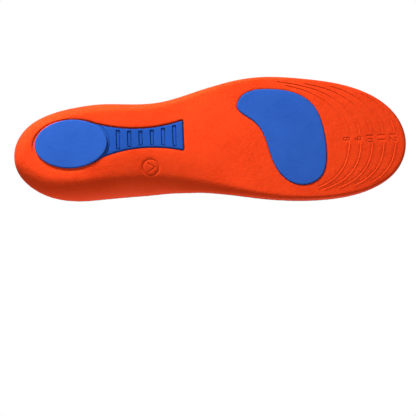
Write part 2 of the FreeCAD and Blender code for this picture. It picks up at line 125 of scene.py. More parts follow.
PAD_EDGE_RADIUS = 0.75 * MM
PAD_CROWN = 0.08 * MM
PAD_CROWN_RUN = 3.5 * MM

SHANK_EDGE_RISE = 0.75 * MM
SHANK_EDGE_RUN = 1.0 * MM
TRAY_WALL = 0.15 * MM
CRESCENT_OUT = 1.7 * MM
CRESCENT_HALF_WIDTH = 0.55 * MM
CRESCENT_DEPTH = 0.5 * MM

SLOT_COUNT = 6
SLOT_FIRST = 79.5 * MM
SLOT_PITCH = 8.3 * MM
SLOT_WIDTH = 3.2 * MM
SLOT_MARGIN = 1.7 * MM
SLOT_DEPTH = 1.2 * MM
SLOT_BAR = 0.45 * MM
SLOT_BAR_INSET = 0.55 * MM
SLOT_WALL = 0.3 * MM
SLOT_CORNER = 0.7 * MM
SLOT_LEAST_CORNER = 0.12 * MM
SLOT_REACH = 1.5 * MM

# One trim line, (distance behind its tip, Y), repeated for every size.
TRIM_LINE = np.array([
    (58.0, 41.4), (43.0, 38.0), (28.0, 32.8), (16.0, 25.3), (8.5, 17.8),
    (2.8, 9.2), (0.4, 0.6), (0.0, -7.1), (1.8, -16.6), (6.0, -25.4),
    (13.7, -33.1), (23.0, -38.0), (29.0, -40.0),
]) * MM
TRIM_FIRST = 248.0 * MM
SIZE_STEP = 8.45 * MM
SIZES = ["8", "9", "10", "11", "12"]
TRIM_LATERAL_ENDS = np.array([38.5, 41.4, 38.7, 35.7, 29.6]) * MM
TRIM_MEDIAL_ENDS = np.array([-38.9, -39.9, -39.1, -38.3, -36.3]) * MM
SIZE_GAP_CENTRE = -4.0 * MM
SIZE_GAP_HALF = 4.2 * MM
TRIM_DEPTH = 0.22 * MM
TRIM_HALF_WIDTH = 0.55 * MM
RIDGE_HEIGHT = 0.26 * MM
RIDGE_HALF_WIDTH = 0.75 * MM
RIDGE_SHIFT = -0.75 * MM
DIGIT_HEIGHT = 4.6 * MM
DIGIT_WIDTH = 2.5 * MM
DIGIT_GAP = 1.1 * MM
DIGIT_SETBACK = 1.2 * MM
DIGIT_DEPTH = 0.45 * MM
DIGIT_HALF_WIDTH = 0.5 * MM

MARK_STATION = 102.6 * MM
MARK_Y = -17.5 * MM
MARK_RADIUS = 5.9 * MM
MARK_DEPTH = 0.42 * MM
MARK_HALF_WIDTH = 0.6 * MM

CELL_ALONG = 4.0 * MM
CELL_ACROSS = 3.6 * MM
CELL_HEIGHT = 0.45 * MM
CELL_PROUD = 0.15 * MM
# A cell's foot as shares of its valley, at corners and at edges.
CELL_PULLS = (0.75, 0.83)
CELL_RINGS = (0.86, 0.55)
CELL_RISES = (0.0, 0.16, 0.66, 0.93, 1.0)
CELL_SPREAD = (0.96, 1.03)
CELL_RISE_SPREAD = (0.9, 1.08)
CELL_WELD = 0.01 * MM

# Where the triangles' edges run, in millimetres inside each outline.
KEYHOLE_LEVELS = (-1.3, -0.9, -0.5, -0.2, 0.0, 0.12, 0.24, 0.35, 0.46, 0.7)
HEEL_BED_LEVELS = (0.1, 0.25, 0.4)
KIDNEY_LEVELS = (-1.3, -0.8, -0.4, -0.15, 0.0, 0.07, 0.14, 0.21)
PAD_LEVELS = (0.04, 0.12, 0.24, 0.4, 0.6, 1.2, 2.2)
SHANK_LEVELS = (0.15, 0.35, 0.6, 1.0)
CRESCENT_LEVELS = (-2.15, -1.9, -1.7, -1.5, -1.25, -0.15, 0.0)
SLOT_LEVELS = (0.0, 0.1, 0.2, 0.3, 0.55, 0.7, 0.85)
TRIM_ROWS = (0.55, 0.3, 0, -0.3, -0.55, -0.8, -1.1, -1.5)
TRIM_ROW_STEP = 0.9 * MM
MARK_ROW_STEP = 0.6 * MM
RIDGE_STEP = 1.0 * MM
LEVEL_TOLERANCE = 0.03 * MM
RIM_REACH = 0.05 * MM

# Lattices of points between those edges: step, and least depth inside.
SOLE_LATTICE = (1.7 * MM, 0.6 * MM)
TOP_LATTICE = (5 * MM, 3 * MM)
PAD_LATTICE = (1.6 * MM, 2.9 * MM)
SHANK_LATTICE = (1.3 * MM, 1.0 * MM)
FILM_LATTICE = (4 * MM, 2.5 * MM)
COVER_LATTICE = (5 * MM, 3.5 * MM)
DETAIL_STEP = 0.22 * MM
DETAIL_REACH = 0.7 * MM
DETAIL_SPACE = 0.12 * MM
SOLE_SPACE = 0.8 * MM
SHANK_SPACE = 0.5 * MM


# ---- small geometry tools ----

def node_mesh(node):
    """Welded points and triangles of a CAD node."""
    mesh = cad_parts[node].data
    mesh.calc_loop_triangles()
    points = np.zeros(len(mesh.vertices) * 3)
    mesh.vertices.foreach_get("co", points)
    points = points.reshape(-1, 3)
    faces = np.zeros(len(mesh.loop_triangles) * 3, np.int32)
    mesh.loop_triangles.foreach_get("vertices", faces)
    key = np.round(points / 1e-6).astype(np.int64)
    _, first, same = np.unique(key, axis=0, return_index=True, return_inverse=True)
    return points[first], same.reshape(-1)[faces.reshape(-1, 3)]


def run_along(points):
    """Distance from the first point to each point of a line."""
    return np.concatenate([[0], np.cumsum(np.linalg.norm(np.diff(points, axis=0), axis=1))])


def smooth_round(values, passes):
    for _ in range(passes):
        values = (np.roll(values, 1, 0) + 2 * values + np.roll(values, -1, 0)) / 4
    return values


def even_loop(points, count):
    """A closed loop resampled to even steps and lightly smoothed."""
    points = np.vstack([points, points[:1]])
    along = run_along(points)
    at = np.linspace(0, along[-1], count, endpoint=False)
    loop = np.stack([np.interp(at, along, points[:, k]) for k in range(3)], axis=1)
    return smooth_round(loop, LOOP_SMOOTHING)


def longest_border(have):
    """The longest loop of directed edges that only one face uses."""
    border = {a: b for a, b in have if (b, a) not in have}
    loops = []
    while border:
        start, at = border.popitem()
        loop = [start]
        while at != start and at in border:
            loop.append(at)
            at = border.pop(at)
        loops.append(loop)
    return max(loops, key=len)


def plan_loop(node, count):
    """Outline of a CAD node's upward faces, anticlockwise from above."""
    points, faces = node_mesh(node)
    a, b, c = (points[faces[:, k]] for k in range(3))
    normal = np.cross(b - a, c - a)
    up = faces[normal[:, 2] > 0.3 * np.linalg.norm(normal, axis=1)]
    edges = np.concatenate([up[:, [0, 1]], up[:, [1, 2]], up[:, [2, 0]]])
    return even_loop(points[longest_border(set(map(tuple, edges.tolist())))], count)


def closed(loop):
    """A loop's plan points with the first one repeated at the end."""
    return np.vstack([loop[:, :2], loop[:1, :2]])


def inward(loop):
    """Unit plan normals that point inside an anticlockwise loop."""
    along = np.roll(loop, -1, 0)[:, :2] - np.roll(loop, 1, 0)[:, :2]
    along /= np.linalg.norm(along, axis=1)[:, None]
    return np.stack([-along[:, 1], along[:, 0]], axis=1)


def locate(loop, spots):
    """Depth of each spot inside a closed loop, and its place along the loop."""
    flat = loop[:, :2]
    count = len(flat)
    depth = np.empty(len(spots))
    place = np.empty(len(spots))
    for low in range(0, len(spots), BATCH):
        span = slice(low, low + BATCH)
        part = spots[span]
        near = ((part[:, None, :] - flat[None, :, :]) ** 2).sum(2).argmin(1)
        best = np.full(len(part), np.inf)
        for first in (near - 1, near):
            a = flat[first % count]
            b = flat[(first + 1) % count]
            run = b - a
            share = ((part - a) * run).sum(1) / (run ** 2).sum(1)
            share = np.clip(share, 0, 1)
            away = part - a - share[:, None] * run
            far = np.linalg.norm(away, axis=1)
            side = np.sign(run[:, 0] * (part - a)[:, 1] - run[:, 1] * (part - a)[:, 0])
            closer = far < best - 1e-12
            best = np.where(closer, far, best)
            depth[span] = np.where(closer, far * side, depth[span])
            place[span] = np.where(closer, first + share, place[span])
    return depth, place % count


def along_loop(values, place):
    count = len(values)
    low = np.floor(place).astype(int) % count
    share = place - np.floor(place)
    return values[low] * (1 - share) + values[(low + 1) % count] * share


def stroke_distance(strokes, spots):
    """Distance in plan from each spot to the nearest of several open lines."""
    best = np.full(len(spots), np.inf)
    for line in strokes:
        low = line.min(0) - 2 * MM
        high = line.max(0) + 2 * MM
        close = np.where(((spots >= low) & (spots <= high)).all(1))[0]
        if not len(close):
            continue
        part = spots[close]
        for a, b in zip(line[:-1], line[1:]):
            run = b - a
            share = np.clip(((part - a) @ run) / (run @ run), 0, 1)
            far = np.linalg.norm(part - a - share[:, None] * run, axis=1)
            best[close] = np.minimum(best[close], far)
    return best


def hex_spots(low, high, step):
    """A triangular lattice of points over a plan rectangle."""
    rows = []
    row_step = step * math.sqrt(3) / 2
    for k, y in enumerate(np.arange(low[1], high[1], row_step)):
        xs = np.arange(low[0] + (k % 2) * step / 2, high[0], step)
        rows.append(np.column_stack([xs, np.full(len(xs), y)]))
    return np.vstack(rows)


def inner_spots(loop, over, lattice):
    """Lattice points over the plan box of some points, well inside a loop."""
    step, least = lattice
    spots = hex_spots(over[:, :2].min(0), over[:, :2].max(0), step)
    depth, _ = locate(loop, spots)
    return spots[depth > least]


def thin_out(spots, keep_from, space):
    """The spots that are farther than a space from all of keep_from."""
    cell = {}
    for p in keep_from:
        cell.setdefault((int(p[0] // space), int(p[1] // space)), []).append(p)
    kept = []
    for p in spots:
        i, j = int(p[0] // space), int(p[1] // space)
        near = [q for a in (-1, 0, 1) for b in (-1, 0, 1) for q in cell.get((i + a, j + b), ())]
        if all((p[0] - q[0]) ** 2 + (p[1] - q[1]) ** 2 > space * space for q in near):
            kept.append(p)
    return np.array(kept).reshape(-1, 2)


def triangulate(border, lines, spots):
    """Plan triangles inside a border loop, with the lines among their edges.

    Returns the points, the triangles and each point's index in the border, or -1.
    """
    points = [border]
    count = len(border)
    edges = [(k, (k + 1) % count) for k in range(count)]
    for line in lines:
        points.append(line)
        edges += [(count + k, count + k + 1) for k in range(len(line) - 1)]
        count += len(line)
    points.append(spots)
    plan = np.vstack(points) / MM
    out = delaunay_2d_cdt([Vector(p) for p in plan], edges, [], 1, 1e-6, True)
    verts = np.array([tuple(v) for v in out[0]]) * MM
    owner = np.full(len(verts), -1)
    for k, sources in enumerate(out[3]):
        for source in sources:
            if source < len(border):
                owner[k] = source
    return verts, inside_border(verts, np.array(out[2], dtype=int), owner), owner


def border_index(owner, count):
    """Index among the triangulated points of each border point."""
    ring = np.full(count, -1)
    held = np.where(owner >= 0)[0]
    ring[owner[held]] = held
    return ring


def turning(points, faces):
    """Twice the signed area of each plan triangle, above zero if anticlockwise."""
    a, b, c = (points[faces[:, k]] for k in range(3))
    return (b - a)[:, 0] * (c - a)[:, 1] - (b - a)[:, 1] * (c - a)[:, 0]


def inside_border(points, faces, owner):
    """Drops the triangles that fill an anticlockwise border's hollows from outside."""
    order = np.argsort(owner[faces], axis=1)
    turn = turning(points, np.take_along_axis(faces, order, axis=1))
    on_border = (owner[faces] >= 0).all(1)
    return faces[~on_border | (turn > 0)]


def facing(points, faces, up):
    """The triangles turned so that they all face up, or all down."""
    turn = turning(points, faces)
    wrong = turn < 0 if up else turn > 0
    faces = faces.copy()
    faces[wrong] = faces[wrong][:, ::-1]
    return faces


def drop_unused(points, faces):
    """The points that some face uses, the faces on them, and which points they were."""
    used = np.unique(np.concatenate([np.asarray(f) for f in faces]))
    index = np.full(len(points), -1)
    index[used] = np.arange(len(used))
    return points[used], [[int(index[k]) for k in f] for f in faces], used


def add_object(name, data):
    thing = bpy.data.objects.new(name, data)
    bpy.context.scene.collection.objects.link(thing)
    return thing


def make_piece(name, points, faces, materials, picks=None, sharp=None):
    """A mesh object that rides on the root body."""
    mesh = bpy.data.meshes.new(name)
    mesh.from_pydata(np.asarray(points).tolist(), [], faces)
    for material in materials:
        mesh.materials.append(material)
    if picks is not None:
        mesh.polygons.foreach_set("material_index", np.asarray(picks, np.int32))
    mesh.polygons.foreach_set("use_smooth", np.ones(len(mesh.polygons), bool))
    mesh.validate()
    mesh.update()
    if sharp is not None:
        mesh.set_sharp_from_angle(angle=math.radians(sharp))
    piece = add_object(name, mesh)
    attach(piece, "root")
    return piece


def closed_slab(border, lines, spots, low_height, high_height):
    """A closed solid over a plan loop, between two height functions."""
    plan, faces, owner = triangulate(border, lines, spots)
    count = len(plan)
    low = np.column_stack([plan, low_height(plan)])
    high = np.column_stack([plan, high_height(plan)])
    under = facing(plan, faces, False)
    over = facing(plan, faces, True) + count
    ring = border_index(owner, len(border))
    after = np.roll(ring, -1)
    side = np.stack([ring, after, after + count, ring + count], axis=1)
    return np.vstack([low, high]), under.tolist() + over.tolist() + side.tolist()


# ---- the insole's surfaces, read from the frame ----

def bump(lift, station):
    height, crest, half_length = lift
    reach = np.clip((station - crest) / half_length, -1, 1)
    return height * np.cos(np.pi * reach / 2) ** 2


def base_height(spots):
    """Height of the foam's underside, before its edge rounds up."""
    station = HEEL_X - spots[:, 0]
    y = spots[:, 1]
    centre = bump(CENTRE_LIFT, station)
    edge = np.where(y > 0, bump(LATERAL_LIFT, station), bump(MEDIAL_LIFT, station))
    ratio = np.abs(y) / LIFT_HALF_WIDTH
    share = np.where(ratio > 1, 2 * ratio - 1, ratio ** 2)
    return PAD_STAND_OUT + centre + (edge - centre) * share


def cover_height(spots):
    """Height of the cover's upper face, by casting down onto it."""
    heights = np.empty(len(spots))
    for k, p in enumerate(spots):
        for pull in CAST_PULLS:
            q = p - p * pull
            hit, _, _, _ = COVER_TREE.ray_cast(Vector((q[0], q[1], CAST_FROM)), DOWN)
            if hit is not None:
                break
        heights[k] = hit.z
    return heights


COVER_TREE = BVHTree.FromPolygons(*(part.tolist() for part in node_mesh("top_cover")))
DOWN = Vector((0, 0, -1))


RIM = plan_loop("top_cover", RIM_STEPS)
RIM_IN = inward(RIM)


def side_blend(medial, lateral, y):
    """Medial and lateral values joined smoothly across the middle."""
    share = np.clip((y + SIDE_BLEND_HALF) / (2 * SIDE_BLEND_HALF), 0, 1)
    return medial + (lateral - medial) * share * share * (3 - 2 * share)


def wall_shape():
    """Inset of the wall's foot and roundness of its profile along the rim."""
    station = HEEL_X - RIM[:, 0]
    medial = np.interp(station, *MEDIAL_INSET.T)
    lateral = np.interp(station, *LATERAL_INSET.T)
    foot = smooth_round(side_blend(medial, lateral, RIM[:, 1]), WALL_SMOOTHING)
    return foot, side_blend(MEDIAL_ROUNDNESS, LATERAL_ROUNDNESS, RIM[:, 1])


WALL_FOOT, WALL_ROUND = wall_shape()


def wall_down(inset_share, power):
    """Share of the wall's height that a share of its inset has come down."""
    share = np.clip(inset_share, 0, 1)
    return (1 - (1 - share) ** power) ** (1 / power)


def wall_in(height_share, power):
    """Share of the wall's inset that a share of its height has gone in."""
    share = np.clip(height_share, 0, 1)
    return 1 - (1 - share ** power) ** (1 / power)


def smooth_sole(spots):
    """Underside of the foam with its rounded wall and no details."""
    depth, place = locate(RIM, spots)
    rim = along_loop(RIM[:, 2], place)
    foot = along_loop(WALL_FOOT, place)
    power = along_loop(WALL_ROUND, place)
    ground = base_height(spots)
    return rim + (ground - rim) * wall_down(depth / foot, power)


def wall_row(drop=None, share=None):
    """A loop of the wall, at a drop below the rim or a share of the way down."""
    loop = RIM.copy()
    for _ in range(3):
        tall = RIM[:, 2] - base_height(loop[:, :2])
        part = drop / tall if share is None else share
        inset = wall_in(part, WALL_ROUND) * WALL_FOOT
        loop[:, :2] = RIM[:, :2] + RIM_IN * inset[:, None]
    loop[:, 2] = RIM[:, 2] - tall * part
    return loop


# ---- outlines of the parts under the foam ----

HEEL_PAD = plan_loop("heel_pad", 200)
FOREFOOT_PAD = plan_loop("forefoot_pad", 280)
SHANK = plan_loop("arch_shank", 360)


def grown(loop, by):
    """A loop moved outwards in plan."""
    return loop[:, :2] - inward(loop) * by


def oval(station, y, half, count):
    """An ellipse in plan, anticlockwise from above."""
    turns = np.linspace(0, 2 * math.pi, count, endpoint=False)
    return np.column_stack([
        HEEL_X - station + half[0] * np.cos(turns), y + half[1] * np.sin(turns)
    ])


HEEL_RECESS = oval(HEEL_RECESS_STATION, HEEL_RECESS_Y, HEEL_RECESS_HALF, 240)


def shank_recess_depth(spots):
    """Depth inside the keyhole recess's lip, and inside the parts that fill it."""
    plate, _ = locate(SHANK, spots)
    pad, _ = locate(HEEL_PAD, spots)
    disc, _ = locate(HEEL_RECESS, spots)
    return np.maximum(plate + NECK_GAP, disc), plate, pad


def smooth_rise(value):
    value = np.clip(value, 0, 1)
    return value * value * (3 - 2 * value)


def keyhole_height(spots):
    """Soft lip, shallow ring round the heel pad, and the bed of the shank."""
    lip, plate, pad = shank_recess_depth(spots)
    soft = LIP_DEPTH * np.clip(1 + lip / LIP_SOFTNESS, 0, 1) ** 2
    medial = smooth_rise(-spots[:, 1] / RING_LIFT_SIDE)
    slope = RING_LIFT * smooth_rise(-pad / RING_LIFT_RUN) * medial
    ring = (RING_DEPTH - LIP_DEPTH - slope) * smooth_rise(lip / RECESS_WALL)
    neck = smooth_rise((plate + NECK_GAP) / RECESS_WALL) * smooth_rise(-pad / NECK_RUN)
    filled = np.maximum(plate + BED_PAST_SHANK, pad - BED_INSIDE_PAD)
    bed = smooth_rise(filled / BED_WALL)
    return soft + ring + (SHANK_FLOOR - RING_DEPTH) * np.maximum(neck, bed)


def kidney_height(spots):
    """Recess of the forefoot pad, with a crisp lip."""
    pad, _ = locate(FOREFOOT_PAD, spots)
    lip = pad + PAD_GAP
    soft = KIDNEY_LIP * np.clip(1 + lip / LIP_SOFTNESS, 0, 1) ** 2
    return soft + (PAD_RECESS_DEPTH - KIDNEY_LIP) * smooth_rise(lip / KIDNEY_WALL)


def trim_strokes():
    """Centre lines of the trim lines, broken at their size numbers."""
    ends = []
    for index in range(len(SIZES)):
        tip = TRIM_FIRST + index * SIZE_STEP
        line = smooth_line(np.column_stack([HEEL_X - tip + TRIM_LINE[:, 0], TRIM_LINE[:, 1]]), 14)
        spans = [
            (SIZE_GAP_CENTRE + SIZE_GAP_HALF, TRIM_LATERAL_ENDS[index]),
            (TRIM_MEDIAL_ENDS[index], SIZE_GAP_CENTRE - SIZE_GAP_HALF),
        ]
        for low, high in spans:
            ends.append(line[(line[:, 1] >= low) & (line[:, 1] <= high)])
    return ends


def smooth_line(points, cuts):
    """A Catmull-Rom curve through points, each span cut into short runs."""
    padded = np.vstack([2 * points[0] - points[1], points, 2 * points[-1] - points[-2]])
    rows = []
    for k in range(1, len(padded) - 2):
        p0, p1, p2, p3 = padded[k - 1:k + 3]
        for part in np.arange(cuts) / cuts:
            rows.append(0.5 * (
                2 * p1 + (p2 - p0) * part + (2 * p0 - 5 * p1 + 4 * p2 - p3) * part ** 2
                + (3 * p1 - p0 - 3 * p2 + p3) * part ** 3
            ))
    rows.append(padded[-2])
    return np.array(rows)


def arc_points(centre_up, right, up, start, end):
    """Part of an ellipse in a digit's own space, across -1..1 and up -0.5..0.5."""
    turns = np.radians(np.linspace(start, end, 15))
    return np.column_stack([right * np.cos(turns), centre_up + up * np.sin(turns)])


DIGITS = {
    "0": [arc_points(0.0, 1.0, 0.5, 0, 360)],
    "1": [np.array([(0.0, -0.5), (0.0, 0.5)])],
    "2": [np.vstack([arc_points(0.24, 1.0, 0.26, 170, -30), [(-1.0, -0.5), (1.0, -0.5)]])],
    "8": [arc_points(0.26, 0.85, 0.24, 0, 360), arc_points(-0.24, 1.0, 0.26, 0, 360)],
    "9": [
        arc_points(0.2, 1.0, 0.3, 0, 360),
        np.array([(1.0, 0.2), (0.95, -0.1), (0.6, -0.38), (0.1, -0.5)]),
    ],
}


def number_strokes():
    """Size numbers, read from below with the toe end up."""
    strokes = []
    for index, number in enumerate(SIZES):
        x = HEEL_X - (TRIM_FIRST + index * SIZE_STEP - DIGIT_SETBACK)
        advance = DIGIT_WIDTH + DIGIT_GAP
        for place, digit in enumerate(number):
            shift = (place - (len(number) - 1) / 2) * advance
            for line in DIGITS[digit]:
                strokes.append(np.column_stack([
                    x - line[:, 1] * DIGIT_HEIGHT,
                    SIZE_GAP_CENTRE - shift - line[:, 0] * DIGIT_WIDTH / 2,
                ]))
    return strokes


def mark_strokes():
    """A plain ring around a chevron that points to the toe."""
    centre = np.array([HEEL_X - MARK_STATION, MARK_Y])
    turns = np.linspace(0, 2 * math.pi, 73)
    ring = centre + MARK_RADIUS * np.column_stack([np.cos(turns), np.sin(turns)])
    chevron = centre + MARK_RADIUS * np.array([(0.3, 0.55), (-0.5, 0.0), (0.3, -0.55)])
    return [ring, chevron]


TRIMS = trim_strokes()
NUMBERS = number_strokes()
MARK = mark_strokes()


def groove(distance, half_width, depth):
    share = np.clip(distance / half_width, 0, 1)
    return depth * (1 + np.cos(np.pi * share)) / 2


def sole_height(spots):
    """Underside of the foam with its recesses, trim lines, numbers and mark."""
    height = smooth_sole(spots)
    height += keyhole_height(spots) + kidney_height(spots)
    lines = groove(stroke_distance(TRIMS, spots), TRIM_HALF_WIDTH, TRIM_DEPTH)
    digits = groove(stroke_distance(NUMBERS, spots), DIGIT_HALF_WIDTH, DIGIT_DEPTH)
    mark = groove(stroke_distance(MARK, spots), MARK_HALF_WIDTH, MARK_DEPTH)
    ridge = groove(stroke_distance(RIDGES, spots), RIDGE_HALF_WIDTH, RIDGE_HEIGHT)
    return height + np.maximum(np.maximum(lines, digits), mark) - ridge


def beside(line, shift):
    """A line moved sideways in plan."""
    along = np.gradient(line, axis=0)
    along /= np.linalg.norm(along, axis=1)[:, None]
    return line + np.column_stack([-along[:, 1], along[:, 0]]) * shift


def step_line(line, step):
    """An open line with even steps."""
    along = run_along(line)
    at = np.linspace(0, along[-1], max(2, int(round(along[-1] / step)) + 1))
    return np.column_stack([np.interp(at, along, line[:, k]) for k in range(2)])


RIDGES = [beside(step_line(line, RIDGE_STEP), RIDGE_SHIFT) for line in TRIMS]


def runs_where(points, keep):
    """The stretches of a closed loop where keep is true, as open lines."""
    if keep.all():
        return [closed(points)]
    start = int(np.argmin(keep))
    points = np.roll(points, -start, 0)
    keep = np.roll(keep, -start)
    runs, run = [], []
    for point, good in zip(points, keep):
        if good:
            run.append(point)
        elif run:
            runs.append(np.array(run))
            run = []
    if run:
        runs.append(np.array(run))
    return [r for r in runs if len(r) > 2]


def sole_lines():
    """Feature lines that the underside's triangles follow."""
    lines = []
    for level in KEYHOLE_LEVELS:
        for loop, gap in ((SHANK, NECK_GAP), (HEEL_RECESS, 0.0)):
            moved = grown(loop, gap - level * MM)
            lip, _, _ = shank_recess_depth(moved)
            lines += runs_where(moved, np.abs(lip - level * MM) < LEVEL_TOLERANCE)
    for level in HEEL_BED_LEVELS:
        moved = grown(HEEL_PAD, -level * MM)
        _, plate, pad = shank_recess_depth(moved)
        lines += runs_where(moved, plate < pad - BED_WALL)
    for level in KIDNEY_LEVELS:
        lines.append(closed(grown(FOREFOOT_PAD, PAD_GAP - level * MM)))
    for line in TRIMS:
        even = step_line(line, TRIM_ROW_STEP)
        lines += [beside(even, k * MM) for k in TRIM_ROWS]
    ring = step_line(MARK[0], MARK_ROW_STEP)
    lines += [beside(ring, k * MARK_HALF_WIDTH / 2) for k in range(-2, 3)]
    return lines


def sole_plan(border):
    """Plan triangles of the underside: fine round the details, coarse between."""
    lines = sole_lines()
    foot = [wall_row(share=part)[:, :2] for part in FOOT_SHARES]
    guides = np.vstack(lines + foot)
    fine = hex_spots(border[:, :2].min(0), border[:, :2].max(0), DETAIL_STEP)
    fine = fine[stroke_distance(NUMBERS + MARK[1:], fine) < DETAIL_REACH]
    fine = thin_out(fine, guides, DETAIL_SPACE)
    spots = inner_spots(border, border, SOLE_LATTICE)
    spots = thin_out(spots, np.vstack([guides, fine]), SOLE_SPACE)
    loops = np.vstack([row[::2] for row in foot])
    return triangulate(border[:, :2], lines, np.vstack([spots, fine, loops]))


def wall_faces(rows, ring):
    """Quads between neighbouring rows of the wall, the last of them onto a ring."""
    grid = np.vstack([np.arange(rows * RIM_STEPS).reshape(rows, -1), ring])
    after = np.roll(grid, -1, 1)
    quads = np.stack([after[:-1], grid[:-1], grid[1:], after[1:]], axis=2)
    return quads.reshape(-1, 4).tolist()


def build_foam():
    """Foam body: side wall in rows, detailed underside, plain top."""
    first = wall_row(drop=COVER + FILM)
    start = (COVER + FILM) / (RIM[:, 2] - base_height(RIM[:, :2]))
    rows = [first]
    for k in range(1, WALL_ROWS + 1):
        rows.append(wall_row(share=start + (LAST_WALL_SHARE - start) * k / WALL_ROWS))
    border = rows.pop()
    offset = len(rows) * RIM_STEPS

    plan, faces, owner = sole_plan(border)
    sole = np.column_stack([plan, sole_height(plan)])
    held = owner >= 0
    sole[held] = border[owner[held]]
    under = facing(plan, faces, False) + offset
    points = np.vstack(rows + [sole])
    walls = wall_faces(len(rows), border_index(owner, RIM_STEPS) + offset)

    plan, faces, owner = triangulate(first[:, :2], [], inner_spots(first, border, TOP_LATTICE))
    top = np.column_stack([plan, cover_height(plan) - COVER - FILM])
    held = owner >= 0
    top[held] = first[owner[held]]
    index = np.where(held, owner, np.arange(len(top)) + len(points))
    over = index[facing(plan, faces, True)]

    points, faces, _ = drop_unused(
        np.vstack([points, top]), walls + under.tolist() + over.tolist()
    )
    piece = make_piece("foam_shell", points, faces, [foam_material()], sharp=60)
    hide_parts("foam_body")


# ---- pads, shank and film ----

def pad_face(loop, spots):
    """Lower face of a soft pad: a rounded edge and a slight crown."""
    depth, _ = locate(loop, spots)
    radius = PAD_EDGE_RADIUS
    inside = np.clip(depth, 0, radius)
    edge = radius - np.sqrt(np.maximum(radius ** 2 - (radius - inside) ** 2, 0))
    return edge + PAD_CROWN * np.exp(-np.maximum(depth, 0) / PAD_CROWN_RUN)


def build_pad(name, node, loop):
    lines = [closed(grown(loop, -level * MM)) for level in PAD_LEVELS]
    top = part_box(node)[1].z
    points, faces = closed_slab(
        loop[:, :2], lines, inner_spots(loop, loop, PAD_LATTICE),
        lambda plan: pad_face(loop, plan),
        lambda plan: np.full(len(plan), top),
    )
    piece = make_piece(name, points, faces, [pad_material()], sharp=50)
    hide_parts(node)


def slot_places():
    """Station and ends of each slot, from the neck's width there."""
    places = []
    for index in range(SLOT_COUNT):
        x = HEEL_X - (SLOT_FIRST + index * SLOT_PITCH)
        ys = SHANK[np.abs(SHANK[:, 0] - x) < SLOT_REACH, 1]
        low = ys[ys < ys.mean()].mean() + SLOT_MARGIN
        high = ys[ys > ys.mean()].mean() - SLOT_MARGIN
        places.append((x, low, high))
    return places


SLOTS = slot_places()


def slot_depth_at(spots):
    """Depth inside the nearest slot's rounded rectangle."""
    best = np.full(len(spots), -1.0)
    for x, low, high in SLOTS:
        across = np.abs(spots[:, 0] - x) - SLOT_WIDTH / 2 + SLOT_CORNER
        along = np.abs(spots[:, 1] - (low + high) / 2) - (high - low) / 2 + SLOT_CORNER
        out = np.hypot(np.maximum(across, 0), np.maximum(along, 0))
        inside = np.minimum(np.maximum(across, along), 0)
        best = np.maximum(best, SLOT_CORNER - out - inside)
    return best


def slot_line(x, low, high, level):
    """A rounded rectangle at a level inside a slot's edge."""
    corner = max(SLOT_CORNER - level, SLOT_LEAST_CORNER)
    half_x = SLOT_WIDTH / 2 - level
    half_y = (high - low) / 2 - level
    middle = (low + high) / 2
    points = []
    for sx, sy, start in ((1, 1, 0), (-1, 1, 90), (-1, -1, 180), (1, -1, 270)):
        for turn in np.radians(start + np.array([0, 30, 60, 90])):
            points.append((
                x + sx * (half_x - corner) + corner * math.cos(turn),
                middle + sy * (half_y - corner) + corner * math.sin(turn),
            ))
    points.append(points[0])
    return np.array(points)


def shank_face(spots):
    """Lower face of the shank with its tray, crescent rim, edge and slots."""
    height = base_height(spots) + SHANK_INSET
    plate, _ = locate(SHANK, spots)
    height += SHANK_EDGE_RISE * np.clip(1 - plate / SHANK_EDGE_RUN, 0, 1) ** 2
    pad, _ = locate(HEEL_PAD, spots)
    height += TRAY_DEPTH * np.clip((pad + TRAY_WALL) / TRAY_WALL, 0, 1)
    height += groove(np.abs(pad + CRESCENT_OUT), CRESCENT_HALF_WIDTH, CRESCENT_DEPTH)
    inside = slot_depth_at(spots)
    slot = np.clip(inside / SLOT_WALL, 0, 1)
    height += SLOT_DEPTH * slot * slot * (3 - 2 * slot)
    return height - SLOT_BAR * smooth_rise((inside - SLOT_BAR_INSET) / SLOT_WALL)


def build_shank():
    lines = []
    for level in SHANK_LEVELS:
        lines.append(closed(grown(SHANK, -level * MM)))
    for level in CRESCENT_LEVELS:
        loop = grown(HEEL_PAD, -level * MM)
        depth, _ = locate(SHANK, loop)
        lines += runs_where(loop, depth > SLOT_CORNER)
    for x, low, high in SLOTS:
        lines += [slot_line(x, low, high, level * MM) for level in SLOT_LEVELS]
    spots = thin_out(inner_spots(SHANK, SHANK, SHANK_LATTICE), np.vstack(lines), SHANK_SPACE)
    points, faces = closed_slab(
        SHANK[:, :2], lines, spots, shank_face, lambda plan: base_height(plan) + SHANK_BACK
    )
    piece = make_piece("shank_plate", points, faces, [shank_material()], sharp=50)
    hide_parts("arch_shank")


def build_film():
    border = wall_row(drop=COVER + FILM / 2)
    spots = inner_spots(border, border, FILM_LATTICE)

    def surface(drop):
        edge = wall_row(drop=drop)

        def height(plan):
            inside, place = locate(border, plan)
            return np.where(
                inside < RIM_REACH, along_loop(edge[:, 2], place), cover_height(plan) - drop
            )
        return height

    points, faces = closed_slab(
        border[:, :2], [], spots, surface(COVER + FILM), surface(COVER)
    )
    piece = make_piece("cover_film", points, faces, [film_material()], sharp=50)
    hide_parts("cover_bond_film")


# ---- textile cover ----

